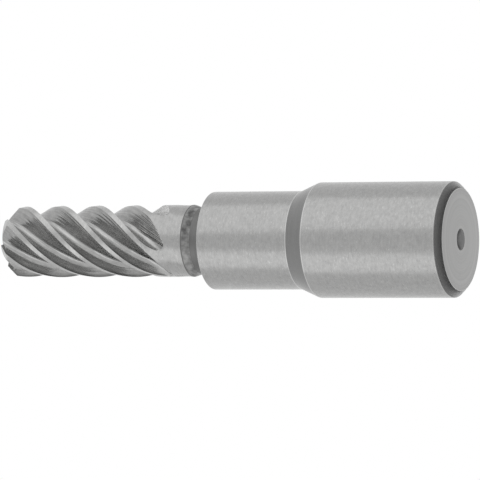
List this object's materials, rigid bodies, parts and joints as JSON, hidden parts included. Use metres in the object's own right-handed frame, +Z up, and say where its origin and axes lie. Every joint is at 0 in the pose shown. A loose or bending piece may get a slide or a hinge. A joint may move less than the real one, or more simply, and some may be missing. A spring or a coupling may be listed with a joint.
{
  "type": "reamer",
  "caption": "Piloted reamer in ground tool steel: a spiral-fluted cutter, a guide cylinder and a thick plain body to grip, all in one solid piece.",
  "frame": {"origin": "centre of the flat back end of the body, on the tool's axis", "axes": "+Z runs up the tool's axis towards the cutting tip, and +X and +Y are square to it"},
  "size_m": [0.017, 0.017, 0.0724],
  "materials": {
    "tool_steel": "ground bright, with darker turned and undercut faces"
  },
  "bodies": {
    "root": {"reamer": "tool_steel"}
  },
  "joints": []
}
